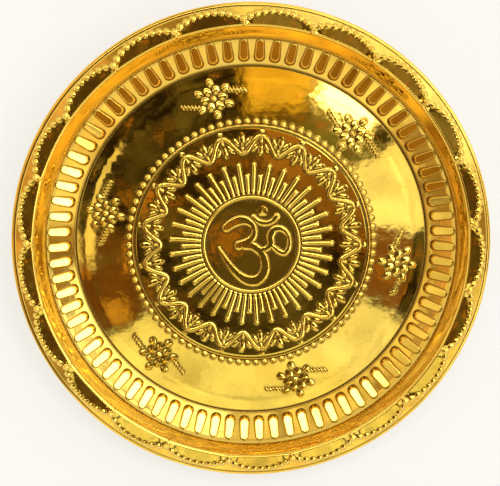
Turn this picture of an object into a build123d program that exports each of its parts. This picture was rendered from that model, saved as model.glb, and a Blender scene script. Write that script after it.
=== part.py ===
from build123d import *
import math
import os

# A puja thali: one round of thin brass sheet, pressed between dies into a flat base, a fluted
# sloping wall and a scalloped rim, with its edge rolled over a wire.
# It lies on its base: +Z is up, the origin is the middle of the base's underside, and +Y is the
# top of the medallion. All lengths are in millimetres, all angles in degrees.

# The plate. Widths are measured outwards in plan, rises and drops upright.
overall_diameter = 280.0
rim_width = 13.2
neck_width = 5.3
wall_width = 14.9
wall_rise = 12.4
neck_rise = 10.0
rim_drop = 3.0
sheet = 0.6

# The scallops: a raised border along the edge, its inner side cut to arcs that meet in cusps.
# Insets are measured inwards from the edge.
scallop_count = 21
scallop_turn = 6.5
cusp_inset = 9.8
apex_inset = 4.7

# The wire in the rolled edge. Its round section and the roll's are drawn with flats.
wire_diameter = 1.6
wire_clearance = 0.1
wire_flats = 6
roll_flats = 4

# The medallion: a panel pressed up a little from the base, with a ring round its middle
panel_diameter = 143.6
panel_rise = 0.5
panel_step_width = 0.8
ring_diameter = 58.0
ring_width = 1.6
ring_height = 0.5

# The flutes of the wall
flute_count = 78
flute_base_margin = 4.3
flute_neck_margin = 0.5
flute_width = 7.0
flute_height = 1.4
flute_hip = 2.6

# The rays of the medallion, long and short by turns
ray_pairs = 33
ray_turn = 1.0
ray_gap = 0.8
long_ray_length = 19.4
short_ray_length = 12.1
ray_width = 2.4
ray_height = 0.7
ray_hip = 1.2

# One length by which cutting shapes run past what they cut
overrun = 1.0

# Radii, heights and angles that follow from these
crest_radius = overall_diameter / 2 - rim_width
neck_radius = crest_radius - neck_width
base_radius = neck_radius - wall_width
neck_height = sheet + wall_rise
crest_height = neck_height + neck_rise
wall_slope = math.hypot(wall_width, wall_rise)
wall_angle = math.degrees(math.atan2(wall_rise, wall_width))
panel_radius = panel_diameter / 2
panel_top = sheet + panel_rise
ring_radius = ring_diameter / 2
ray_start_radius = ring_radius + ring_width / 2 + ray_gap
cusp_radius = overall_diameter / 2 - cusp_inset
apex_radius = overall_diameter / 2 - apex_inset
flat_angle = 360 / wire_flats
flat_share = math.cos(math.radians(flat_angle / 2))
first_flat_angle = 90 + flat_angle / 2
roll_radius = wire_diameter / 2 + wire_clearance + sheet / flat_share
roll_center = (overall_diameter / 2 - roll_radius, crest_height - rim_drop - roll_radius * flat_share)


def on_circle(center, radius, angle):
    turn = math.radians(angle)
    return (center[0] + radius * math.cos(turn), center[1] + radius * math.sin(turn))


def polar_copies(shape, count, first_angle=0.0):
    return [Rot(Z=first_angle + 360 * i / count) * shape for i in range(count)]


def filled(*corners):
    return make_face(Polyline(*corners, close=True))


# The roll starts at its upper side, goes round outwards and ends under the rim
roll_angles = [first_flat_angle - flat_angle * i for i in range(roll_flats + 1)]
roll_points = [on_circle(roll_center, roll_radius, angle) for angle in roll_angles]
roll_start_radius, roll_start_height = roll_points[0]


def pressed_sheet():
    """The plain sheet, revolved: base with its medallion panel, wall, neck, rim and roll."""
    upper_side = Polyline(
        (0, panel_top),
        (ring_radius - ring_width / 2, panel_top),
        (ring_radius, panel_top + ring_height),
        (ring_radius + ring_width / 2, panel_top),
        (panel_radius, panel_top),
        (panel_radius + panel_step_width, sheet),
        (base_radius, sheet),
        (neck_radius, neck_height),
        (crest_radius, crest_height),
        *roll_points,
    )
    section = offset(upper_side, sheet, side=Side.RIGHT, kind=Kind.INTERSECTION)
    return revolve(Plane.XZ * make_face(section), axis=Axis.Z)


def scalloped_border():
    """The raised border of the rim. It falls from the cusps to the roll, and round bars cut its
    inner side to arcs."""
    border_slope = rim_drop / (roll_start_radius - cusp_radius)
    rim_slope = rim_drop / (roll_start_radius - crest_radius)
    inner_radius = cusp_radius - overrun
    inner_width = roll_start_radius - inner_radius
    middle_height = roll_start_height - sheet / 2
    section = filled(
        (roll_start_radius, roll_start_height),
        (inner_radius, roll_start_height + inner_width * border_slope),
        (inner_radius, middle_height + inner_width * rim_slope),
        (roll_start_radius, middle_height),
    )
    half_turn = 180 / scallop_count
    half_chord = cusp_radius * math.sin(math.radians(half_turn))
    bow = apex_radius - cusp_radius * math.cos(math.radians(half_turn))
    arc_radius = (half_chord ** 2 + bow ** 2) / (2 * bow)
    bar = Pos(apex_radius - arc_radius, 0, crest_height) * Cylinder(arc_radius, 2 * (rim_drop + overrun))
    bars = polar_copies(bar, scallop_count, scallop_turn + half_turn)
    return revolve(Plane.XZ * section, axis=Axis.Z).cut(*bars)


def hipped_bar(length, width, height, hip, depth):
    """A bar along X with a ridge and sloping ends. Its size is taken at z = 0, and it goes on
    down to the depth with the same slopes."""
    half_length = length / 2
    half_width = width / 2
    low_width = half_width * (1 + depth / height)
    low_length = half_length + hip * depth / height
    high_length = half_length - 2 * hip
    across = filled((-low_width, -depth), (low_width, -depth), (0, height))
    along = filled(
        (-low_length, -depth), (low_length, -depth),
        (high_length, 2 * height), (-high_length, 2 * height),
    )
    ridge = extrude(Plane.YZ * across, low_length, both=True)
    return ridge & extrude(Plane.XZ * along, low_width, both=True)


def flute():
    """One flute as a bar raised on the wall, and the hollow that the die leaves behind it."""
    length = wall_slope - flute_base_margin - flute_neck_margin
    along_share = (flute_base_margin + length / 2) / wall_slope
    middle_radius = base_radius + along_share * wall_width
    middle_height = sheet + along_share * wall_rise
    place = Pos(middle_radius, 0, middle_height) * Rot(Y=-wall_angle)
    size = (length, flute_width, flute_height, flute_hip)
    drop = sheet * math.hypot(flute_height, flute_width / 2) / (flute_width / 2)
    boss = place * hipped_bar(*size, sheet / 2)
    hollow = place * Pos(0, 0, -drop) * hipped_bar(*size, overrun)
    return boss, hollow


def ray(length):
    """One ray of the medallion, struck on its upper side only."""
    place = Pos(ray_start_radius + length / 2, 0, panel_top)
    return place * hipped_bar(length, ray_width, ray_height, ray_hip, sheet / 2)


def thali_plate():
    half_pair = 180 / ray_pairs
    flute_boss, flute_hollow = flute()
    bosses = polar_copies(flute_boss, flute_count)
    bosses += polar_copies(ray(long_ray_length), ray_pairs, ray_turn)
    bosses += polar_copies(ray(short_ray_length), ray_pairs, ray_turn + half_pair)
    hollows = polar_copies(flute_hollow, flute_count)
    return pressed_sheet().fuse(scalloped_border(), *bosses).cut(*hollows)


def rim_wire():
    wire_angles = [first_flat_angle - flat_angle * i for i in range(wire_flats)]
    corners = [on_circle(roll_center, wire_diameter / 2, angle) for angle in wire_angles]
    return revolve(Plane.XZ * filled(*corners), axis=Axis.Z)


os.makedirs("parts", exist_ok=True)
nodes = {"thali_plate": thali_plate(), "rim_wire": rim_wire()}
for name, shape in nodes.items():
    export_step(shape, f"parts/{name}.step")
    print(name, len(shape.solids()), round(shape.volume), shape.is_valid)
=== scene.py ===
import math

import bpy
import numpy as np
from mathutils import Matrix, Vector
from mathutils.geometry import delaunay_2d_cdt


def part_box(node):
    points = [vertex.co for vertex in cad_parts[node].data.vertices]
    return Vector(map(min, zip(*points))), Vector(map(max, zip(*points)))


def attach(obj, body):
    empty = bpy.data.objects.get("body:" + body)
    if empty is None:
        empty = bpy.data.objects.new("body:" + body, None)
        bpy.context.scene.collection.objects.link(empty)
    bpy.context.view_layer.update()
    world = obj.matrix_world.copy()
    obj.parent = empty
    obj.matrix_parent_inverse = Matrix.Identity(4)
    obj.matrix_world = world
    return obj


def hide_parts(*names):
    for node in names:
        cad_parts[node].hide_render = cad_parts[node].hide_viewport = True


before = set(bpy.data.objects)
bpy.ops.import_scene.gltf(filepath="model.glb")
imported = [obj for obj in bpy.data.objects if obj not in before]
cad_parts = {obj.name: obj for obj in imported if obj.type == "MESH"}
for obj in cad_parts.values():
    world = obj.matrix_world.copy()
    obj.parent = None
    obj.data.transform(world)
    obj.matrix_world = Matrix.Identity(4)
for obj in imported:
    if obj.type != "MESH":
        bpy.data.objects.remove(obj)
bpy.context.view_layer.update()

# All lengths below are in millimetres, angles in degrees, shares without a unit.
metres_per_mm = 0.001
full_turn = 2.0 * math.pi
plate_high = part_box("thali_plate")[1]
plate_radius = plate_high.x / metres_per_mm
crest_height = plate_high.z / metres_per_mm

# Section of the pressed sheet, from the middle outward.
sheet = 0.6
panel_rise = 0.8
panel_dish = 0.8
panel_radius = 71.8
panel_step_width = 0.8
base_radius = 106.6
neck_radius = 121.5
crest_radius = 126.8
neck_height = 13.0
roll_radius = 1.5
roll_center_height = 18.5
roll_last_angle = -150.0
step_bend = 0.35
base_bend = 0.5
neck_bend = 1.9
crest_bend = 0.9
band_slope = 23.0
roll_groove_radius = 137.5
roll_groove_half_width = 0.6
roll_groove_depth = 0.3

# Wire in the rolled edge.
wire_radius = 0.8
wire_sides = 16
wire_segments = 312

# Flutes of the wall.
flute_count = 78
flute_base_margin = 2.8
flute_neck_margin = 0.0
flute_width = 6.8
flute_taper_share = 0.32
flute_base_height = 2.4
flute_neck_height = 0.25
flute_top_share = 0.67

# Sunburst round the middle ring.
ring_radius = 28.9
ring_half_width = 1.0
ring_height = 0.55
ray_count = 66
ray_turn_share = 0.1875
ray_start_radius = 30.4
long_ray_end_radius = 50.0
short_ray_end_radius = 42.8
ray_half_width = 1.3
ray_height = 0.6
ray_flank = 1.15

# Beads and groove round the panel.
panel_bead_count = 86
panel_bead_circle = 74.2
panel_bead_radius = 1.8
panel_bead_height = 0.9
panel_groove_radius = 71.0
panel_groove_half_width = 1.0
panel_groove_depth = 0.3

# Scalloped border of the rim.
scallop_count = 21
scallop_turn = 6.5
scallop_apex_radius = 135.3
scallop_cusp_radius = 130.2
scallop_bead_count = 9
rim_bead_radius = 1.85
rim_bead_height = 0.95
cusp_bead_radius = 1.9
lobe_bend = 0.08
spur_start_radius = 127.6
spur_half_width = 0.8
spur_height = 0.5

# Flowers of the flat base.
flower_radius = 90.0
flower_angles = (167.5, 104.4, 47.9, 352.5, 287.9, 230.2)
flower_reach = 27.0
flower_height = 0.9
flower_heart_radius = 1.8
inner_petal_circle = 5.2
inner_petal_half_length = 2.75
inner_petal_half_width = 2.3
outer_petal_circle = 9.4
outer_petal_half_length = 2.55
outer_petal_half_width = 2.05
petal_count = 6
sprig_start = 7.2
sprig_length = 12.4
sprig_offset = -3.7
sprig_rise_share = 0.27
sprig_height = 0.42
sprig_flank = 0.75
sprig_stem_half_width = 0.6
sprig_barb_pitch = 2.0
sprig_barb_half_length = 2.0
sprig_barb_half_width = 0.7
sprig_barb_turn = 62.0

# Vine that fills the band round the sunburst.
vine_radius = 60.6
vine_low_radius = 51.3
vine_high_radius = 70.0
vine_waves = 17
vine_swing = 5.2
vine_half_width = 1.3
vine_height = 0.52
vine_flank = 0.98
bud_stalk_drop = 3.0
bud_stalk_half_width = 1.0
bud_heart_drop = 8.0
bud_heart_half_length = 3.9
bud_heart_half_width = 1.8
bud_side_shift = 3.5
bud_side_drop = 6.9
bud_side_half_length = 3.1
bud_side_half_width = 1.5
bud_side_turn = 38.0
vine_dot_rise = 2.7
vine_dot_radius = 1.3

# The sign in the middle: centre lines of its raised ribbons, as (x, y, half width).
sign_height = 0.65
sign_flank = 1.2
sign_upper_bow = (
    (-15.0, 10.5, 3.0), (-11.6, 13.0, 3.3), (-7.0, 14.8, 3.4), (-2.9, 14.5, 2.9), (0.3, 12.4, 2.5),
    (1.6, 9.4, 2.2), (1.4, 6.1, 2.3), (-0.6, 3.0, 2.7), (-4.0, 0.8, 3.0), (-7.6, -0.4, 3.1),
)
sign_lower_bow = (
    (-4.0, -0.4, 3.0), (0.4, -0.9, 3.0), (4.2, -3.4, 2.9), (7.0, -7.0, 2.9), (8.1, -11.0, 3.0),
    (8.0, -15.4, 3.2), (6.2, -19.6, 3.4), (2.4, -22.4, 3.6), (-2.4, -22.1, 3.4), (-6.7, -19.7, 3.0),
    (-10.9, -15.8, 2.6), (-14.6, -10.9, 2.2), (-17.6, -5.8, 1.7), (-19.6, -1.9, 1.1),
)
sign_tail = (
    (5.4, -3.4, 2.2), (9.2, -2.4, 2.2), (11.6, 0.6, 2.5), (11.4, 5.4, 2.7), (13.8, 9.2, 2.6),
    (17.3, 9.8, 2.3), (20.4, 8.2, 2.0), (22.6, 4.8, 1.8), (23.0, 1.0, 1.8), (22.2, -2.6, 1.9),
    (20.2, -5.2, 2.0), (17.2, -4.5, 2.1), (14.4, -2.4, 2.0), (11.9, -0.4, 1.9),
)
sign_crescent = (
    (1.2, 17.0, 1.8), (3.6, 14.6, 2.1), (6.6, 13.3, 2.2), (9.8, 13.2, 2.1), (12.8, 14.5, 2.1),
    (15.2, 17.2, 2.2),
)
sign_dot = (6.4, 20.5)
sign_dot_radius = 2.9
spline_steps = 6

# Edges of the struck forms, and the corners beside them, which are darkened partly with patina and partly
# with painted shade.
top_bend_share = 0.2
foot_bend_share = 0.2
peak_tip_share = 0.22
recess_reach = 0.9
wall_recess_reach = 0.5
recess_depth = 0.12
recess_looks = 8

# Slow unevenness of the pressed sheet: (spacing, height).
sheet_swells = ((46.0, 0.42), (25.0, 0.13), (14.0, 0.03))
swell_seed = 11
swell_spare_knots = 3
swell_fade_start = 97.0
swell_fade_end = 108.0
panel_swell_share = 0.3

# Mesh: the spacing of its points and how far the surface may bend between them.
lattice_levels = 4
coarse_bend_share = 0.75
steep_rise = 0.12
upper_bend_limit = 0.19
lower_bend_limit = 0.4
upper_step = 0.45
lower_step = 0.92
sign_step_share = 0.8
ray_row_share = 1.9
upper_ray_steps = 16
lower_ray_steps = 8
upper_bead_steps = 12
lower_bead_steps = 6
bead_row_share = 0.85
border_margin = 1.4
border_bend_share = 0.4
upper_flute_steps = 24
lower_flute_steps = 8
wall_row_share = 0.95
rim_bend_share = 0.5
upper_rim_steps = 9
lower_rim_steps = 4
edge_column_share = 0.25
widest_edge_share = 0.4
wall_start_radius = 105.4
slope_step = 0.03
edge_point_count = 416
roll_ring_count = 11
merge_distance = 1e-6

# Map of the plate's two sides, unrolled to discs that lie side by side.
reach_samples = 2000
map_margin_share = 1.03
map_middle_share = 0.5
upper_map_share = 0.25
lower_map_share = 0.75


def smooth(low, high, value):
    """0 at low, 1 at high, with level ends."""
    share = np.clip((value - low) / (high - low), 0.0, 1.0)
    return share * share * (3.0 - 2.0 * share)


def soft_ramp(value, bend):
    """A ramp that starts at zero, rounded over bend to each side."""
    rounded = (value + bend) ** 2 / (4.0 * bend)
    return np.where(value < -bend, 0.0, np.where(value > bend, value, rounded))


def raised(outside, height, flank):
    """A flat-topped form with straight flanks: outside is the distance beyond its edge."""
    share = soft_ramp(-outside / flank, foot_bend_share)
    return height * (1.0 - soft_ramp(1.0 - share, top_bend_share))


def peaked(share, height):
    """A form with a rounded tip: share is 0 in its middle and 1 at its edge."""
    edge = math.hypot(1.0, peak_tip_share)
    rise = (edge - np.hypot(share, peak_tip_share)) / (edge - peak_tip_share)
    return height * soft_ramp(rise, foot_bend_share)


def nearest(angle, pitch, turn=0.0):
    """Angle from the nearest of a row of equal divisions, and the number of that division."""
    number = np.round((angle - turn) / pitch)
    return angle - turn - number * pitch, number


def oval(u, v, half_length, half_width, turn=0.0):
    """Distance beyond an oval about the origin."""
    cosine, sine = math.cos(math.radians(turn)), math.sin(math.radians(turn))
    along, across = u * cosine + v * sine, v * cosine - u * sine
    return (np.hypot(along / half_length, across / half_width) - 1.0) * min(half_length, half_width)


def spline(points):
    """Smooth line through points, as a row of closer points."""
    knots = np.array(points, float)
    knots = np.vstack([2.0 * knots[0] - knots[1], knots, 2.0 * knots[-1] - knots[-2]])
    share = np.linspace(0.0, 1.0, spline_steps, endpoint=False)[:, None]
    runs = []
    for before, start, end, after in zip(knots[:-3], knots[1:-2], knots[2:-1], knots[3:]):
        bend = 2.0 * before - 5.0 * start + 4.0 * end - after
        twist = 3.0 * (start - end) + after - before
        runs.append(start + 0.5 * share * (end - before + share * (bend + share * twist)))
    return np.vstack(runs + [knots[-2:-1]])


def ribbon(x, y, points):
    """Distance beyond the edge of a ribbon of changing width."""
    line = spline(points)
    outside = np.full(x.shape, np.inf)
    for (start_x, start_y, start_width), (end_x, end_y, end_width) in zip(line[:-1], line[1:]):
        dx, dy = end_x - start_x, end_y - start_y
        share = np.clip(((x - start_x) * dx + (y - start_y) * dy) / (dx * dx + dy * dy), 0.0, 1.0)
        half_width = start_width + share * (end_width - start_width)
        gap = np.hypot(x - start_x - share * dx, y - start_y - share * dy) - half_width
        outside = np.minimum(outside, gap)
    return outside


def sign(x, y, radius, angle):
    """The sign in the middle."""
    bows = np.minimum(ribbon(x, y, sign_upper_bow), ribbon(x, y, sign_lower_bow))
    body = np.minimum(bows, ribbon(x, y, sign_tail))
    body = np.minimum(body, ribbon(x, y, sign_crescent))
    dot = np.hypot(x - sign_dot[0], y - sign_dot[1])
    return np.maximum(raised(body, sign_height, sign_flank), peaked(dot / sign_dot_radius, sign_height))


def ring(x, y, radius, angle):
    """The raised ring round the sign."""
    return raised(np.abs(radius - ring_radius) - ring_half_width, ring_height, ring_half_width)


def rays(x, y, radius, angle):
    """Long and short rays by turns."""
    pitch = full_turn / ray_count
    turn, number = nearest(angle, pitch, ray_turn_share * pitch)
    end = np.where(number % 2 == 0, long_ray_end_radius, short_ray_end_radius) - ray_half_width
    start = ray_start_radius + ray_half_width
    beyond = np.maximum(np.maximum(radius - end, start - radius), 0.0)
    return raised(np.hypot(beyond, radius * turn) - ray_half_width, ray_height, ray_flank)


def vine(x, y, radius, angle):
    """A wavy stem with a bud hanging in every bow and a dot over each outer one."""
    half_wave = math.pi / vine_waves
    turn, number = nearest(angle, half_wave)
    u = turn * vine_radius
    v = (radius - vine_radius) * np.where(number % 2 == 0, 1.0, -1.0)
    reach = half_wave * vine_radius
    swing = math.pi / reach
    slope = vine_swing * swing * np.sin(swing * u)
    stem = np.abs(v - vine_swing * np.cos(swing * u)) / np.hypot(1.0, slope) - vine_half_width
    down = vine_swing - v
    stalk = np.hypot(u, np.maximum(np.abs(down - bud_stalk_drop / 2.0) - bud_stalk_drop / 2.0, 0.0))
    form = np.minimum(stem, stalk - bud_stalk_half_width)
    form = np.minimum(form, oval(u, down - bud_heart_drop, bud_heart_half_width, bud_heart_half_length))
    for side in (-1.0, 1.0):
        leaf = oval(u - side * bud_side_shift, down - bud_side_drop, bud_side_half_width,
                    bud_side_half_length, -side * bud_side_turn)
        form = np.minimum(form, leaf)
    dots = np.where(number % 2 == 0, np.hypot(u, down + vine_dot_rise), np.inf)
    return np.maximum(raised(form, vine_height, vine_flank), peaked(dots / vine_dot_radius, vine_height))


def panel_groove(x, y, radius, angle):
    """The groove along the edge of the panel."""
    beyond = np.abs(radius - panel_groove_radius) - panel_groove_half_width
    return -raised(beyond, panel_groove_depth, panel_groove_half_width)


def panel_beads(x, y, radius, angle):
    """The ring of beads round the panel."""
    turn, number = nearest(angle, full_turn / panel_bead_count)
    distance = np.hypot(radius - panel_bead_circle, radius * turn)
    return peaked(distance / panel_bead_radius, panel_bead_height)


def sprig(along, across):
    """A thin stem with slanted barbs."""
    half_length = sprig_length / 2.0
    beyond = np.maximum(np.abs(along - half_length) - half_length, 0.0)
    stem = np.hypot(beyond, across) - sprig_stem_half_width
    number = np.clip(np.round(along / sprig_barb_pitch), 0.0, sprig_length // sprig_barb_pitch)
    barb = oval(along - number * sprig_barb_pitch, across, sprig_barb_half_length,
                sprig_barb_half_width, sprig_barb_turn)
    return raised(np.minimum(stem, barb), sprig_height, sprig_flank)


def flower(u, v):
    """One flower with its two sprigs; u runs round the plate and v outward."""
    distance, bearing = np.hypot(u, v), np.arctan2(v, u)
    pitch = full_turn / petal_count
    height = peaked(distance / flower_heart_radius, flower_height)
    for circle, half_length, half_width, turn in (
        (inner_petal_circle, inner_petal_half_length, inner_petal_half_width, 0.0),
        (outer_petal_circle, outer_petal_half_length, outer_petal_half_width, pitch / 2.0),
    ):
        off, number = nearest(bearing, pitch, turn)
        along, across = distance * np.cos(off) - circle, distance * np.sin(off)
        share = np.hypot(along / half_length, across / half_width)
        height = np.maximum(height, peaked(share, flower_height))
    for side in (-1.0, 1.0):
        along = side * u - sprig_start
        across = side * v - sprig_offset - sprig_rise_share * along
        height = np.maximum(height, sprig(along, across))
    return height


def flowers(x, y, radius, angle):
    """The flowers spread round the flat base."""
    height = np.zeros_like(x)
    for place in flower_angles:
        cosine, sine = math.cos(math.radians(place)), math.sin(math.radians(place))
        v, u = x * cosine + y * sine - flower_radius, y * cosine - x * sine
        near = np.hypot(u, v) < flower_reach
        height[near] = np.maximum(height[near], flower(u[near], v[near]))
    return height


def wall_level_share():
    """Width of the wall in plan, as a share of its length up the slope."""
    return (neck_radius - base_radius) / math.hypot(neck_radius - base_radius, neck_height - sheet)


def flute_ends():
    """Radii of the two ends of a flute."""
    low = base_radius + flute_base_margin * wall_level_share()
    return low, neck_radius - flute_neck_margin * wall_level_share()


def flute_climb(radius):
    """Way up a flute at a radius, from 0 at its base end to 1 at its neck end."""
    low, high = flute_ends()
    return np.clip((radius - low) / (high - low), 0.0, 1.0)


def flute_half_width(radius):
    """Half width of a flute, which narrows upward."""
    return flute_width / 2.0 * (1.0 - flute_taper_share * flute_climb(radius))


def flutes(x, y, radius, angle):
    """Upright flutes of the wall, higher and wider at the base than at the neck."""
    low, high = flute_ends()
    half_run = (high - low) / 2.0 / wall_level_share() - flute_width / 2.0
    turn, number = nearest(angle, full_turn / flute_count)
    beyond = np.maximum(np.abs(radius - (low + high) / 2.0) / wall_level_share() - half_run, 0.0)
    share = np.hypot(beyond, radius * turn) / flute_half_width(radius)
    height = flute_base_height + flute_climb(radius) * (flute_neck_height - flute_base_height)
    return height * smooth(1.0, flute_top_share, share) / wall_level_share()


def rim_arc(share):
    """Radius of the scalloped edge, from -1 at one cusp through 0 at the apex to 1 at the next cusp."""
    return scallop_apex_radius - (scallop_apex_radius - scallop_cusp_radius) * share ** 2


def rim_lobes(radius, turn, half_pitch):
    """Flat lobes inside a steeper band, as a height over the plain rim."""
    arc = rim_arc(turn / half_pitch)
    edge_radius, edge_height = roll_start()
    fall = math.tan(math.radians(band_slope))
    band_height = edge_height + (edge_radius - radius) * fall
    arc_height = edge_height + (edge_radius - arc) * fall
    lobe = crest_height + (radius - crest_radius) * (arc_height - crest_height) / (arc - crest_radius)
    plain = crest_height + (radius - crest_radius) * rim_slope()
    height = lobe - soft_ramp(lobe - band_height, lobe_bend) - plain
    return height * smooth(crest_radius - crest_bend, crest_radius + crest_bend, radius)


def rim_beads(radius, turn, half_pitch):
    """A bead on each cusp and a row of beads round each lobe."""
    cusp = np.hypot(radius - scallop_cusp_radius, radius * (half_pitch - np.abs(turn)))
    beads = peaked(cusp / cusp_bead_radius, rim_bead_height)
    for place in range(1, scallop_bead_count + 1):
        share = 2.0 * place / (scallop_bead_count + 1) - 1.0
        distance = np.hypot(radius - rim_arc(share), radius * (turn - share * half_pitch))
        beads = np.maximum(beads, peaked(distance / rim_bead_radius, rim_bead_height))
    return beads


def rim_spurs(radius, turn, half_pitch):
    """A short spur from each cusp towards the crest."""
    beyond = np.maximum(np.maximum(spur_start_radius - radius, radius - scallop_cusp_radius), 0.0)
    outside = np.hypot(beyond, radius * (half_pitch - np.abs(turn))) - spur_half_width
    return raised(outside, spur_height, spur_half_width)


def rim_border(x, y, radius, angle):
    """Everything struck into the rim, with the groove along its rolled edge."""
    half_pitch = math.pi / scallop_count
    turn, number = nearest(angle, full_turn / scallop_count, math.radians(scallop_turn) + half_pitch)
    groove = np.abs(radius - roll_groove_radius) - roll_groove_half_width
    height = rim_lobes(radius, turn, half_pitch)
    height -= raised(groove, roll_groove_depth, roll_groove_half_width)
    return height + np.maximum(rim_beads(radius, turn, half_pitch), rim_spurs(radius, turn, half_pitch))


# Where each form is struck: (lowest radius, highest radius, form).
ring_reach = ring_half_width * (1.0 + foot_bend_share)
groove_reach = panel_groove_half_width * (1.0 + foot_bend_share)
bead_reach = panel_bead_radius * (1.0 + foot_bend_share)
struck_forms = (
    (0.0, ring_radius - ring_half_width, sign),
    (ring_radius - ring_reach, ring_radius + ring_reach, ring),
    (ring_radius + ring_reach, vine_low_radius, rays),
    (vine_low_radius, vine_high_radius, vine),
    (panel_groove_radius - groove_reach, panel_groove_radius + groove_reach, panel_groove),
    (panel_radius, panel_bead_circle + bead_reach, panel_beads),
    (panel_bead_circle + bead_reach, base_radius, flowers),
    (base_radius, neck_radius, flutes),
    (crest_radius - crest_bend, plate_radius, rim_border),
)


def swells(x, y):
    """Slow unevenness of the sheet, never below zero."""
    height = np.zeros_like(x)
    chance = np.random.RandomState(swell_seed)
    for spacing, amount in sheet_swells:
        reach = int(plate_radius / spacing) + swell_spare_knots
        knots = chance.uniform(0.0, amount, (2 * reach + 1, 2 * reach + 1))
        column, row = x / spacing + reach, y / spacing + reach
        first_column, first_row = np.floor(column).astype(int), np.floor(row).astype(int)
        across, along = column - first_column, row - first_row
        for i, share_across in enumerate(spline_shares(across)):
            for j, share_along in enumerate(spline_shares(along)):
                height += knots[first_column + i - 1, first_row + j - 1] * share_across * share_along
    return height


def spline_shares(place):
    """Weights of the four knots round a place in a smooth spline."""
    back = 1.0 - place
    return (
        back ** 3 / 6.0,
        (4.0 - 6.0 * place ** 2 + 3.0 * place ** 3) / 6.0,
        (4.0 - 6.0 * back ** 2 + 3.0 * back ** 3) / 6.0,
        place ** 3 / 6.0,
    )


def struck(x, y):
    """Everything struck into the sheet, as a height over its plain section."""
    radius, angle = np.hypot(x, y), np.arctan2(y, x)
    height = np.zeros_like(x)
    for low, high, form in struck_forms:
        inside = (radius >= low) & (radius < high)
        height[inside] += form(x[inside], y[inside], radius[inside], angle[inside])
    calm = np.where(radius < panel_radius, panel_swell_share, 1.0)
    height += swells(x, y) * calm * smooth(swell_fade_end, swell_fade_start, radius)
    height -= panel_dish * (1.0 - np.minimum(radius / panel_radius, 1.0) ** 2)
    return height


def roll_start():
    """Radius and height at which the rim's outer band runs onto the rolled edge."""
    slope = math.radians(band_slope)
    radius = plate_radius - roll_radius + roll_radius * math.sin(slope)
    return radius, roll_center_height + roll_radius * math.cos(slope)


def rim_slope():
    """Mean slope of the rim from its crest to the rolled edge."""
    edge_radius, edge_height = roll_start()
    return (edge_height - crest_height) / (edge_radius - crest_radius)


def section(radius):
    """Height of the plain sheet's upper side."""
    wall = (neck_height - sheet) / (neck_radius - base_radius)
    neck = (crest_height - neck_height) / (crest_radius - neck_radius)
    step = panel_rise / panel_step_width
    height = np.full(radius.shape, sheet + panel_rise)
    for place, bend, change in (
        (panel_radius, step_bend, -step),
        (panel_radius + panel_step_width, step_bend, step),
        (base_radius, base_bend, wall),
        (neck_radius, neck_bend, neck - wall),
        (crest_radius, crest_bend, rim_slope() - neck),
    ):
        height += change * soft_ramp(radius - place, bend)
    return height


def upper_height(x, y):
    """Height of the sheet's upper side."""
    return section(np.hypot(x, y)) + struck(x, y)


def widened(marked):
    """Marked lattice points together with their neighbours."""
    for axis in (0, 1):
        marked = marked | np.roll(marked, 1, axis) | np.roll(marked, -1, axis)
    return marked


def needed(height, wraps, bend_limit):
    """Points of a lattice that the surface needs, coarser where it is flat."""
    keep = np.zeros(height.shape, bool)
    for level in range(lattice_levels):
        step = 2 ** level
        part = height[::step, ::step]
        bend = np.zeros(part.shape)
        bend[1:-1] = np.abs(part[2:] - 2.0 * part[1:-1] + part[:-2])
        if wraps:
            side = np.abs(np.roll(part, 1, 1) - 2.0 * part + np.roll(part, -1, 1))
            bend = np.maximum(bend, side)
        else:
            side = np.abs(part[:, 2:] - 2.0 * part[:, 1:-1] + part[:, :-2])
            bend[:, 1:-1] = np.maximum(bend[:, 1:-1], side)
        keep[::step, ::step] |= widened(bend > bend_limit * coarse_bend_share ** level)
    coarsest = 2 ** lattice_levels
    keep[::coarsest, ::coarsest] = True
    steep = np.zeros(height.shape, bool)
    steep[1:-1] = np.abs(height[2:] - height[:-2]) > steep_rise
    steep[:, 1:-1] |= np.abs(height[:, 2:] - height[:, :-2]) > steep_rise
    return keep if wraps else keep | widened(keep & steep)


def square_lattice(low, high, step, bend_limit):
    """Needed points of a square lattice between two radii."""
    count = int(high / step)
    line = np.arange(-count, count + 1) * step
    x, y = np.meshgrid(line, line)
    height = upper_height(x.ravel(), y.ravel()).reshape(x.shape)
    radius = np.hypot(x, y)
    keep = needed(height, False, bend_limit) & (radius >= low) & (radius < high)
    return x[keep], y[keep]


def gathered(turn, half_turn, pitch, first_turn):
    """Turns moved so that a column runs along each edge of a row of forms of the given half turn."""
    local, number = nearest(turn, pitch, first_turn)
    even, half_pitch = edge_column_share * pitch, pitch / 2.0
    half_turn = np.minimum(half_turn, widest_edge_share * pitch)
    rest = (np.abs(local) - even) / (half_pitch - even)
    beside = np.sign(local) * (half_turn + rest * (half_pitch - half_turn))
    moved = np.where(np.abs(local) < even, local * half_turn / even, beside)
    return first_turn + number * pitch + moved


def along_rays(turn, row):
    """Turns moved to follow the edges of the rays."""
    pitch = full_turn / ray_count
    return gathered(turn, ray_half_width / row, pitch, ray_turn_share * pitch)


def along_flutes(turn, row):
    """Turns moved to follow the edges of the flutes."""
    return gathered(turn, flute_half_width(row) / row, full_turn / flute_count, 0.0)


def round_lattice(low, high, row_step, turn_count, bend_limit, first_turn=0.0, along=None):
    """Needed points of a lattice of rings between two radii, with columns that may follow forms."""
    turns = first_turn + np.arange(turn_count) * full_turn / turn_count
    turn, row = np.meshgrid(turns, np.arange(low, high, row_step))
    if along is not None:
        turn = along(turn, row)
    x, y = row * np.cos(turn), row * np.sin(turn)
    height = upper_height(x.ravel(), y.ravel()).reshape(x.shape)
    keep = needed(height, True, bend_limit)
    return x[keep], y[keep]


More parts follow.
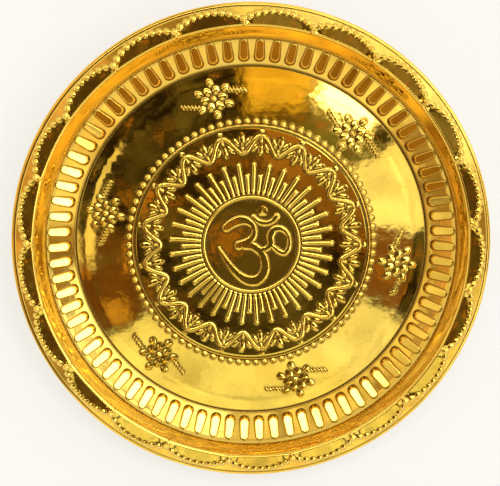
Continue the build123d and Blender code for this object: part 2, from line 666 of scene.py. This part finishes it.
def side_points(step, ray_steps, bead_steps, flute_steps, rim_steps, bend_limit):
    """Places of the points of one side of the sheet, seen from above."""
    edge = roll_start()[0]
    gap = step / 2.0
    inner, outer = ring_radius - ring_reach, vine_low_radius
    border_low = panel_groove_radius - groove_reach - border_margin
    border_high = panel_bead_circle + bead_reach
    ray_turn, ray_columns = ray_turn_share * full_turn / ray_count, ray_count * ray_steps
    border_columns, wall_columns = panel_bead_count * bead_steps, flute_count * flute_steps
    rim_columns = scallop_count * (scallop_bead_count + 1) * rim_steps
    border_bend, rim_bend = bend_limit * border_bend_share, bend_limit * rim_bend_share
    last = np.arange(edge_point_count) * full_turn / edge_point_count
    parts = (
        square_lattice(0.0, inner - gap, step * sign_step_share, bend_limit),
        round_lattice(inner, outer, step * ray_row_share, ray_columns, bend_limit, ray_turn, along_rays),
        square_lattice(outer, border_low - gap, step, bend_limit),
        round_lattice(border_low, border_high, step * bead_row_share, border_columns, border_bend),
        square_lattice(border_high + gap, wall_start_radius - gap, step, bend_limit),
        round_lattice(wall_start_radius, crest_radius - gap, step * wall_row_share, wall_columns,
                      bend_limit, 0.0, along_flutes),
        round_lattice(crest_radius, edge - step, step, rim_columns, rim_bend, math.radians(scallop_turn)),
        (edge * np.cos(last), edge * np.sin(last)),
    )
    return np.concatenate([part[0] for part in parts]), np.concatenate([part[1] for part in parts])


def sheet_normals(x, y):
    """Unit normals of the upper side."""
    dx = (upper_height(x + slope_step, y) - upper_height(x - slope_step, y)) / (2.0 * slope_step)
    dy = (upper_height(x, y + slope_step) - upper_height(x, y - slope_step)) / (2.0 * slope_step)
    normal = np.stack([-dx, -dy, np.ones_like(x)], 1)
    return normal / np.linalg.norm(normal, axis=1)[:, None]


def recess_shares(x, y):
    """How far each place lies in a corner of the relief, from 0 to 1; this sets the painted shade and
    patina there.
    """
    around = np.zeros_like(x)
    on_wall = np.hypot(x, y) > base_radius + recess_reach
    reach = np.where(on_wall, wall_recess_reach, recess_reach)
    for number in range(recess_looks):
        turn = full_turn * number / recess_looks
        around += upper_height(x + reach * math.cos(turn), y + reach * math.sin(turn))
    return np.clip((around / recess_looks - upper_height(x, y)) / recess_depth, 0.0, 1.0)


def under_side(x, y, z):
    """The same points on the lower side, one sheet thickness below."""
    radius = np.maximum(np.hypot(x, y), slope_step)
    slope = (section(radius + slope_step) - section(radius - slope_step)) / (2.0 * slope_step)
    length = np.hypot(1.0, slope)
    inward = 1.0 + sheet * slope / length / radius
    return np.stack([x * inward, y * inward, z - sheet / length], 1)


def tube_ring(tube_radius, angle, count):
    """Points and normals of one ring round the plate, at an angle round the middle of its edge."""
    turns = np.arange(count) * full_turn / count
    outward = np.stack([np.cos(turns), np.sin(turns), np.zeros_like(turns)], 1)
    upward = np.array([0.0, 0.0, 1.0])
    normals = outward * math.cos(angle) + upward * math.sin(angle)
    middle = outward * (plate_radius - roll_radius) + upward * roll_center_height
    return middle + normals * tube_radius, normals


def roll_rings(tube_radius):
    """Rings of the rolled edge, outward and round."""
    first = math.radians(90.0 - band_slope)
    angles = np.linspace(first, math.radians(roll_last_angle), roll_ring_count)
    return zip(*[tube_ring(tube_radius, angle, edge_point_count) for angle in angles])


def ring_faces(first, second):
    """Faces between two rings of point numbers."""
    first_next, second_next = np.roll(first, -1), np.roll(second, -1)
    return np.stack([first, second, second_next, first_next], 1)


def side_mesh(*steps):
    """Points on the upper side, their normals, the triangles between them and the outermost ring."""
    xs, ys = side_points(*steps)
    found = delaunay_2d_cdt([Vector(p) for p in zip(xs, ys)], [], [], 0, merge_distance)
    flat = np.array([v[:] for v in found[0]])
    x, y = flat[:, 0], flat[:, 1]
    points = np.stack([x, y, upper_height(x, y)], 1)
    outermost = np.argsort(-np.hypot(x, y))[:edge_point_count]
    turns = np.mod(np.arctan2(y[outermost], x[outermost]) + slope_step / plate_radius, full_turn)
    return points, sheet_normals(x, y), np.array(found[2]), outermost[np.argsort(turns)]


def closed_shell():
    """Points, normals and faces of the whole pressed sheet, which points are on its lower side, and
    the recess shares of the upper side, whose points come first."""
    upper, upper_normals, upper_faces, upper_edge = side_mesh(
        upper_step, upper_ray_steps, upper_bead_steps, upper_flute_steps, upper_rim_steps, upper_bend_limit)
    upper_recess = recess_shares(upper[:, 0], upper[:, 1])
    lower, lower_normals, lower_faces, lower_edge = side_mesh(
        lower_step, lower_ray_steps, lower_bead_steps, lower_flute_steps, lower_rim_steps, lower_bend_limit)
    lower = under_side(lower[:, 0], lower[:, 1], lower[:, 2])
    outer_points, outer_normals = roll_rings(roll_radius)
    inner_points, inner_normals = roll_rings(roll_radius - sheet)
    upper[upper_edge], upper_normals[upper_edge] = outer_points[0], outer_normals[0]
    lower[lower_edge], lower_normals[lower_edge] = inner_points[0], inner_normals[0]
    points, normals = [upper, lower], [upper_normals, -lower_normals]
    faces = [upper_faces, lower_faces[:, ::-1] + len(upper)]
    fresh = len(upper) + len(lower)
    below = [np.zeros(len(upper), bool), np.ones(len(lower), bool)]
    ends = []
    for start, ring_points, ring_normals, inside in (
        (upper_edge, outer_points, outer_normals, False),
        (lower_edge + len(upper), inner_points, inner_normals, True),
    ):
        last = start
        for number in range(1, roll_ring_count):
            this = fresh + np.arange(edge_point_count)
            fresh += edge_point_count
            points.append(ring_points[number])
            normals.append(-ring_normals[number] if inside else ring_normals[number])
            below.append(np.full(edge_point_count, inside))
            faces.append(ring_faces(this, last) if inside else ring_faces(last, this))
            last = this
        ends.append(last)
    faces.append(ring_faces(ends[0], ends[1]))
    return np.vstack(points), np.vstack(normals), faces, np.concatenate(below), upper_recess


def unrolled_reach(points):
    """Length along the section from the axis to each point, on round the rolled edge."""
    radius = np.hypot(points[:, 0], points[:, 1])
    line = np.linspace(0.0, roll_start()[0], reach_samples)
    rise = np.gradient(section(line), line)
    length = np.concatenate([[0.0], np.cumsum(np.hypot(1.0, rise)[1:] * np.diff(line))])
    reach = np.interp(radius, line, length)
    center = plate_radius - roll_radius
    on_roll = np.hypot(radius - center, points[:, 2] - roll_center_height) < roll_radius + slope_step
    angle = np.arctan2(points[:, 2] - roll_center_height, radius - center)
    turned = np.mod(math.radians(90.0 - band_slope) - angle + slope_step, full_turn)
    return np.where(on_roll, length[-1] + turned * roll_radius, reach)


def make_mesh(name, points, normals, faces):
    """A smooth mesh with its own normals, in metres."""
    mesh = bpy.data.meshes.new(name)
    mesh.from_pydata((points * metres_per_mm).tolist(), [], [f for part in faces for f in part.tolist()])
    mesh.shade_smooth()
    mesh.normals_split_custom_set_from_vertices(normals.tolist())
    thing = bpy.data.objects.new(name, mesh)
    bpy.context.scene.collection.objects.link(thing)
    return thing


def add_map(mesh, points, below):
    """Upper and lower side as two discs side by side."""
    reach = unrolled_reach(points)
    angle = np.arctan2(points[:, 1], points[:, 0])
    size = 4.0 * reach.max() * map_margin_share
    u = np.where(below, lower_map_share, upper_map_share) + reach * np.cos(angle) / size
    v = map_middle_share + reach * np.sin(angle) / size
    corner = np.zeros(len(mesh.loops), int)
    mesh.loops.foreach_get("vertex_index", corner)
    layer = mesh.uv_layers.new(name="OFBake")
    layer.uv.foreach_set("vector", np.stack([u[corner], v[corner]], 1).ravel())


def node(tree, kind, **values):
    """A shader node with its inputs set by name."""
    made = tree.nodes.new(kind)
    for name, value in values.items():
        made.inputs[name.replace("_", " ")].default_value = value
    return made


def new_material(name):
    """A material with its node tree and its main shader."""
    material = bpy.data.materials.new(name)
    material.use_nodes = True
    tree = material.node_tree
    return material, tree, tree.nodes["Principled BSDF"]


def noise(tree, place, scale, detail, stretch=(1.0, 1.0, 1.0)):
    """Procedural noise over the object's own coordinates."""
    spread = node(tree, "ShaderNodeMapping", Scale=stretch)
    tree.links.new(place.outputs["Object"], spread.inputs["Vector"])
    made = node(tree, "ShaderNodeTexNoise", Scale=scale, Detail=detail)
    tree.links.new(spread.outputs["Vector"], made.inputs["Vector"])
    return made.outputs["Fac"]


def ramp(tree, value, low, high, start, end):
    """Value from low to high becomes start to end."""
    made = node(tree, "ShaderNodeMapRange", From_Min=low, From_Max=high, To_Min=start, To_Max=end)
    tree.links.new(value, made.inputs["Value"])
    return made.outputs["Result"]


def blended(tree, share, first, second):
    """Colour between two colours or sockets."""
    made = tree.nodes.new("ShaderNodeMix")
    made.data_type = "RGBA"
    tree.links.new(share, made.inputs["Factor"])
    for name, value in (("A", first), ("B", second)):
        socket = next(s for s in made.inputs if s.name == name and s.type == "RGBA")
        if isinstance(value, tuple):
            socket.default_value = value
        else:
            tree.links.new(value, socket)
    return next(s for s in made.outputs if s.type == "RGBA")


def bumped(tree, height, shader, distance, strength, after=None):
    """Fine bumps on a shader, on top of earlier ones if given."""
    made = node(tree, "ShaderNodeBump", Distance=distance, Strength=strength)
    tree.links.new(height, made.inputs["Height"])
    if after is not None:
        tree.links.new(after, made.inputs["Normal"])
    tree.links.new(made.outputs["Normal"], shader.inputs["Normal"])
    return made.outputs["Normal"]


def scalar_math(tree, operation, first, second):
    """Result of an operation on two sockets or numbers."""
    made = tree.nodes.new("ShaderNodeMath")
    made.operation = operation
    for socket, value in zip(made.inputs, (first, second)):
        if isinstance(value, bpy.types.NodeSocket):
            tree.links.new(value, socket)
        else:
            socket.default_value = value
    return made.outputs["Value"]


def vector_math(tree, operation, first, second=None):
    """Result of a vector or colour operation on sockets or values."""
    made = tree.nodes.new("ShaderNodeVectorMath")
    made.operation = operation
    second_socket = made.inputs["Scale"] if operation == "SCALE" else made.inputs[1]
    for socket, value in ((made.inputs[0], first), (second_socket, second)):
        if isinstance(value, bpy.types.NodeSocket):
            tree.links.new(value, socket)
        elif value is not None:
            socket.default_value = value
    return made.outputs["Value" if operation == "DOT_PRODUCT" else "Vector"]


# Brass. Noise scales are per metre.
recess_name = "recess"
brass_tone = (0.95, 0.65, 0.115, 1.0)
brass_dull_tone = (0.91, 0.57, 0.085, 1.0)
brass_spot_tone = (0.62, 0.34, 0.035, 1.0)
# Near-black tone for the corners of the relief: partly patina, partly painted shade.
brass_patina_and_shade_tone = (0.09, 0.04, 0.008, 1.0)
brass_patina_and_shade_share = 0.95
brass_recess_roughness = 0.3
brass_cloud_scale = 26.0
brass_cloud_detail = 4.0
brass_cloud_turn = (0.35, 0.7)
brass_spot_scale = 210.0
brass_spot_detail = 3.0
brass_spot_turn = (0.62, 0.74)
brass_spot_share = 0.35
brass_smear_scale = 60.0
brass_smear_detail = 5.0
brass_smear_stretch = (1.0, 3.0, 1.0)
brass_smear_turn = (0.3, 0.75)
brass_roughness = (0.025, 0.07)
brass_scratch_scale = 900.0
brass_scratch_detail = 2.0
brass_scratch_stretch = (0.08, 1.0, 1.0)
brass_scratch_depth = 0.006
brass_scratch_share = 0.25
brass_dent_scale = 120.0
brass_dent_detail = 2.0
brass_dent_depth = 0.12
brass_dent_share = 0.3


def brass_material():
    """Polished brass with faint tarnish, corners darkened partly with patina and partly with painted shade,
    wiping marks and fine scratches.
    """
    material, tree, shader = new_material("polished_brass")
    place = tree.nodes.new("ShaderNodeTexCoord")
    shader.inputs["Metallic"].default_value = 1.0
    cloud = noise(tree, place, brass_cloud_scale, brass_cloud_detail)
    colour = blended(tree, ramp(tree, cloud, *brass_cloud_turn, 0.0, 1.0), brass_tone, brass_dull_tone)
    spots = noise(tree, place, brass_spot_scale, brass_spot_detail)
    spots = ramp(tree, spots, *brass_spot_turn, 0.0, brass_spot_share)
    colour = blended(tree, spots, colour, brass_spot_tone)
    # Corners of the relief go towards near black: partly patina, partly painted shade.
    recess = tree.nodes.new("ShaderNodeAttribute")
    recess.attribute_name = recess_name
    corner = ramp(tree, recess.outputs["Fac"], 0.0, 1.0, 0.0, brass_patina_and_shade_share)
    colour = blended(tree, corner, colour, brass_patina_and_shade_tone)
    tree.links.new(colour, shader.inputs["Base Color"])
    smear = noise(tree, place, brass_smear_scale, brass_smear_detail, brass_smear_stretch)
    smear = ramp(tree, smear, *brass_smear_turn, *brass_roughness)
    dull = scalar_math(tree, "MULTIPLY", corner, brass_recess_roughness)
    tree.links.new(scalar_math(tree, "ADD", dull, smear), shader.inputs["Roughness"])
    scratches = noise(tree, place, brass_scratch_scale, brass_scratch_detail, brass_scratch_stretch)
    first = bumped(tree, scratches, shader, brass_scratch_depth * metres_per_mm, brass_scratch_share)
    dents = noise(tree, place, brass_dent_scale, brass_dent_detail)
    bumped(tree, dents, shader, brass_dent_depth * metres_per_mm, brass_dent_share, first)
    return material


# Steel of the wire.
wire_tone = (0.50, 0.48, 0.45, 1.0)
wire_rust_tone = (0.24, 0.13, 0.07, 1.0)
wire_freckle_scale = 300.0
wire_freckle_detail = 4.0
wire_freckle_depth = 0.05
wire_freckle_share = 0.3
wire_rust_turn = (0.58, 0.7)
wire_dull_turn = (0.3, 0.7)
wire_roughness = (0.28, 0.6)


def wire_material():
    """Drawn steel wire, dull, with a few rust freckles."""
    material, tree, shader = new_material("drawn_steel_wire")
    place = tree.nodes.new("ShaderNodeTexCoord")
    shader.inputs["Metallic"].default_value = 1.0
    freckles = noise(tree, place, wire_freckle_scale, wire_freckle_detail)
    colour = blended(tree, ramp(tree, freckles, *wire_rust_turn, 0.0, 1.0), wire_tone, wire_rust_tone)
    tree.links.new(colour, shader.inputs["Base Color"])
    tree.links.new(ramp(tree, freckles, *wire_dull_turn, *wire_roughness), shader.inputs["Roughness"])
    bumped(tree, freckles, shader, wire_freckle_depth * metres_per_mm, wire_freckle_share)
    return material


def make_plate():
    """The pressed sheet with everything struck into it."""
    points, normals, faces, below, recess = closed_shell()
    plate = make_mesh("plate", points, normals, faces)
    add_map(plate.data, points, below)
    # The corner shares carry the painted shade and patina of the relief's corners.
    recess = np.pad(recess, (0, len(points) - len(recess)))
    plate.data.attributes.new(recess_name, "FLOAT", "POINT").data.foreach_set("value", recess)
    plate.data.materials.append(brass_material())
    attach(plate, "root")
    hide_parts("thali_plate")


def make_wire():
    """The round wire inside the rolled edge."""
    points, normals, faces = [], [], []
    for side in range(wire_sides):
        ring_points, ring_normals = tube_ring(wire_radius, full_turn * side / wire_sides, wire_segments)
        points.append(ring_points)
        normals.append(ring_normals)
        first = side * wire_segments + np.arange(wire_segments)
        faces.append(ring_faces((first + wire_segments) % (wire_sides * wire_segments), first))
    wire = make_mesh("edge_wire", np.vstack(points), np.vstack(normals), faces)
    wire.data.materials.append(wire_material())
    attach(wire, "root")
    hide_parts("rim_wire")


# Floor.
floor_size = 6000.0
floor_colour = (0.90, 0.90, 0.90, 1.0)
floor_roughness = 0.9
floor_specular_share = 0.1
floor_glow_share = 0.65
floor_glow_colour = (1.0, 1.0, 0.97, 1.0)


def make_floor():
    """A wide pale floor, lifted to near white where it is seen or mirrored."""
    mesh = bpy.data.meshes.new("floor")
    half = floor_size * metres_per_mm / 2.0
    corners = [(-half, -half, 0.0), (half, -half, 0.0), (half, half, 0.0), (-half, half, 0.0)]
    mesh.from_pydata(corners, [], [(0, 1, 2, 3)])
    floor = bpy.data.objects.new("floor", mesh)
    bpy.context.scene.collection.objects.link(floor)
    material, tree, shader = new_material("pale_floor")
    shader.inputs["Base Color"].default_value = floor_colour
    shader.inputs["Roughness"].default_value = floor_roughness
    shader.inputs["Specular IOR Level"].default_value = floor_specular_share
    glow = node(tree, "ShaderNodeEmission", Color=floor_glow_colour)
    path = tree.nodes.new("ShaderNodeLightPath")
    seen = scalar_math(tree, "MAXIMUM", path.outputs["Is Camera Ray"], path.outputs["Is Glossy Ray"])
    seen = scalar_math(tree, "MAXIMUM", seen, path.outputs["Is Transmission Ray"])
    mixed = tree.nodes.new("ShaderNodeMixShader")
    tree.links.new(scalar_math(tree, "MULTIPLY", seen, floor_glow_share), mixed.inputs["Fac"])
    tree.links.new(shader.outputs["BSDF"], mixed.inputs[1])
    tree.links.new(glow.outputs["Emission"], mixed.inputs[2])
    tree.links.new(mixed.outputs["Shader"], tree.nodes["Material Output"].inputs["Surface"])
    mesh.materials.append(material)


# The room round the plate. Angles are measured from the middle of the view in the plate, bearings
# clockwise from +Y.
view_middle = (0.02, -0.168, 1.0)
backdrop_colour = (0.96, 0.955, 0.94, 1.0)
backdrop_start = 72.0
backdrop_full = 76.0
dark_colour = (0.022, 0.014, 0.009, 1.0)
clutter_colour = (0.15, 0.125, 0.055, 1.0)
clutter_scale = 24.0
clutter_detail = 3.0
clutter_turn = (0.42, 0.68)
warm_colour = (0.42, 0.19, 0.035, 1.0)
warm_scale = 19.0
warm_turn = (0.58, 0.66)
patch_scale = 14.0
patch_detail = 5.0
patch_turn = (0.32, 0.68)
patch_shares = (0.68, 1.24)
warp_scale = 6.0
warp_detail = 1.0
warp_reach = 0.05
noise_middle = (0.5, 0.5, 0.5)
# All round: (nearest and farthest angle, soft edge), colour.
room_bands = (
    ((0.0, 2.5, 2.0), (0.10, 0.072, 0.030)),
    ((25.0, 43.0, 4.0), (0.11, 0.068, 0.028)),
    ((44.0, 49.6, 0.8), (0.36, 0.19, 0.045)),
    ((51.0, 57.0, 1.0), (0.50, 0.31, 0.11)),
    ((57.0, 90.0, 3.0), (0.42, 0.30, 0.16)),
)
# Light cards and windows: (bearing, half spread, soft edge), (nearest and farthest angle, soft edge),
# colour.
light_cards = (
    ((34.0, 10.0, 5.0), (11.6, 17.0, 0.8), (8.0, 7.8, 7.4)),
    ((70.0, 13.0, 4.0), (8.2, 20.0, 0.9), (1.3, 1.3, 1.2)),
    ((9.0, 12.0, 6.0), (10.2, 19.0, 1.6), (0.95, 0.62, 0.10)),
    ((178.0, 57.0, 4.0), (8.1, 21.0, 0.9), (1.05, 1.08, 0.85)),
    ((133.0, 12.0, 8.0), (8.1, 21.0, 0.9), (1.25, 1.3, 1.25)),
    ((253.0, 16.0, 5.0), (7.7, 20.0, 1.5), (0.17, 0.075, 0.022)),
    ((244.0, 4.0, 4.0), (10.6, 14.0, 1.0), (0.65, 0.36, 0.08)),
    ((262.0, 4.0, 4.0), (7.7, 9.6, 0.8), (0.70, 0.34, 0.06)),
    ((285.0, 19.0, 6.0), (12.2, 15.0, 0.9), (1.0, 0.90, 0.60)),
    ((100.0, 14.0, 6.0), (8.0, 14.0, 1.5), (0.22, 0.10, 0.04)),
    ((38.0, 14.0, 6.0), (8.0, 11.2, 1.0), (0.17, 0.165, 0.06)),
    ((45.0, 30.0, 15.0), (4.3, 7.0, 1.5), (0.36, 0.18, 0.05)),
    ((296.0, 24.0, 22.0), (0.9, 1.9, 0.6), (0.40, 0.19, 0.035)),
    ((172.0, 47.0, 6.0), (26.0, 43.0, 4.0), (1.0, 1.0, 0.68)),
    ((30.0, 26.0, 20.0), (26.0, 43.0, 4.0), (0.28, 0.22, 0.11)),
    ((40.0, 78.0, 16.0), (45.0, 51.5, 1.5), (6.0, 5.9, 5.7)),
    ((290.0, 33.0, 10.0), (44.0, 53.0, 1.5), (0.95, 0.90, 0.70)),
    ((165.0, 58.0, 10.0), (53.0, 64.0, 1.2), (1.25, 1.12, 0.78)),
    ((165.0, 58.0, 10.0), (64.0, 80.0, 1.2), (1.15, 1.02, 0.70)),
    ((8.0, 14.0, 10.0), (57.0, 80.0, 2.0), (1.10, 1.02, 0.75)),
    ((44.0, 26.0, 10.0), (57.0, 64.0, 1.2), (1.50, 1.55, 1.60)),
    ((48.0, 34.0, 12.0), (65.5, 80.0, 1.2), (2.40, 2.40, 2.40)),
    ((270.0, 14.0, 8.0), (57.0, 64.0, 1.2), (0.75, 0.45, 0.25)),
    ((302.0, 16.0, 8.0), (57.0, 64.0, 1.2), (0.95, 0.62, 0.40)),
    ((245.0, 28.0, 10.0), (65.5, 80.0, 1.2), (0.85, 0.68, 0.48)),
    ((290.0, 30.0, 10.0), (65.5, 80.0, 1.2), (1.00, 0.90, 0.60)),
    ((330.0, 18.0, 8.0), (65.5, 80.0, 1.2), (1.05, 0.95, 0.65)),
)


def within(tree, cosine, full_angle, end_angle):
    """1 within full_angle, falling softly to 0 at end_angle, from the cosine of an angle."""
    low, high = math.cos(math.radians(end_angle)), math.cos(math.radians(full_angle))
    fade = node(tree, "ShaderNodeMapRange", From_Min=low, From_Max=high, To_Min=0.0, To_Max=1.0)
    fade.interpolation_type = "SMOOTHSTEP"
    tree.links.new(cosine, fade.inputs["Value"])
    return fade.outputs["Result"]


def between(tree, cosine, nearest_angle, farthest_angle, soft):
    """1 between two angles, with soft edges outside them."""
    inside = within(tree, cosine, farthest_angle, farthest_angle + soft)
    if nearest_angle < soft:
        return inside
    return scalar_math(tree, "SUBTRACT", inside, within(tree, cosine, nearest_angle - soft, nearest_angle))


def room_noise(tree, direction, scale, detail):
    """Noise over the directions from the plate."""
    made = node(tree, "ShaderNodeTexNoise", Scale=scale, Detail=detail)
    tree.links.new(direction, made.inputs["Vector"])
    return made.outputs


def make_room():
    """A dark room with a window on one side, duller walls and light cards overhead."""
    world = bpy.data.worlds.new("studio")
    bpy.context.scene.world = world
    world.use_nodes = True
    tree = world.node_tree
    direction = tree.nodes.new("ShaderNodeTexCoord").outputs["Generated"]
    rise = vector_math(tree, "DOT_PRODUCT", direction, (0.0, 0.0, 1.0))
    warp = room_noise(tree, direction, warp_scale, warp_detail)["Color"]
    shift = vector_math(tree, "SUBTRACT", warp, noise_middle)
    direction = vector_math(tree, "ADD", direction, vector_math(tree, "SCALE", shift, warp_reach))
    direction = vector_math(tree, "NORMALIZE", direction)
    middle = Vector(view_middle).normalized()
    cosine = vector_math(tree, "DOT_PRODUCT", direction, middle)
    ahead = vector_math(tree, "SCALE", middle, cosine)
    aside = vector_math(tree, "NORMALIZE", vector_math(tree, "SUBTRACT", direction, ahead))
    clutter = room_noise(tree, direction, clutter_scale, clutter_detail)["Fac"]
    colour = blended(tree, ramp(tree, clutter, *clutter_turn, 0.0, 1.0), dark_colour, clutter_colour)
    warm = room_noise(tree, direction, warm_scale, clutter_detail)["Fac"]
    colour = blended(tree, ramp(tree, warm, *warm_turn, 0.0, 1.0), colour, warm_colour)
    for angles, light in room_bands:
        lit = vector_math(tree, "SCALE", light, between(tree, cosine, *angles))
        colour = vector_math(tree, "MAXIMUM", colour, lit)
    for (bearing, half_spread, soft), angles, light in light_cards:
        turn = math.radians(bearing)
        side = vector_math(tree, "DOT_PRODUCT", aside, (math.sin(turn), math.cos(turn), 0.0))
        share = within(tree, side, half_spread, half_spread + soft)
        share = scalar_math(tree, "MULTIPLY", share, between(tree, cosine, *angles))
        lit = vector_math(tree, "SCALE", light, share)
        colour = vector_math(tree, "MAXIMUM", colour, lit)
    patches = room_noise(tree, direction, patch_scale, patch_detail)["Fac"]
    colour = vector_math(tree, "SCALE", colour, ramp(tree, patches, *patch_turn, *patch_shares))
    colour = blended(tree, within(tree, rise, backdrop_start, backdrop_full), backdrop_colour, colour)
    tree.links.new(colour, tree.nodes["Background"].inputs["Color"])


# Camera: where it stands over the plate, how it is turned and how wide it sees. The size of the
# picture and the place of the plate's middle in it are in pixels.
camera_distance = 470.5
camera_tilt = 9.6
camera_bearing = 96.5
camera_lens = 55.69
sensor_width = 36.0
picture_width = 500.0
picture_height = 486.0
plate_middle = (251.48, 244.63)
nearest_seen = 10.0


def make_camera():
    """The camera over the plate, turned so that the plate's middle falls on its place in the picture."""
    data = bpy.data.cameras.new("camera")
    data.lens = camera_lens
    data.sensor_width = sensor_width
    camera = bpy.data.objects.new("camera", data)
    bpy.context.scene.collection.objects.link(camera)
    tilt, bearing = math.radians(camera_tilt), math.radians(camera_bearing)
    back = Vector((math.sin(tilt) * math.cos(bearing), math.sin(tilt) * math.sin(bearing), math.cos(tilt)))
    right = (-back).cross(Vector((0.0, 1.0, 0.0))).normalized()
    up = right.cross(-back)
    turned = Matrix((right, up, back)).transposed()
    pixels = camera_lens / sensor_width * picture_width
    aside = Vector(((plate_middle[0] - picture_width / 2.0) / pixels,
                    (picture_height / 2.0 - plate_middle[1]) / pixels, -1.0))
    nudge = aside.rotation_difference(Vector((0.0, 0.0, -1.0))).to_matrix()
    place = (back * camera_distance + Vector((0.0, 0.0, sheet))) * metres_per_mm
    camera.matrix_world = Matrix.Translation(place) @ (turned @ nudge).to_4x4()
    data.clip_start = nearest_seen * metres_per_mm
    bpy.context.scene.camera = camera


bpy.context.scene.view_settings.view_transform = "Standard"
make_plate()
make_wire()
make_floor()
make_room()
make_camera()
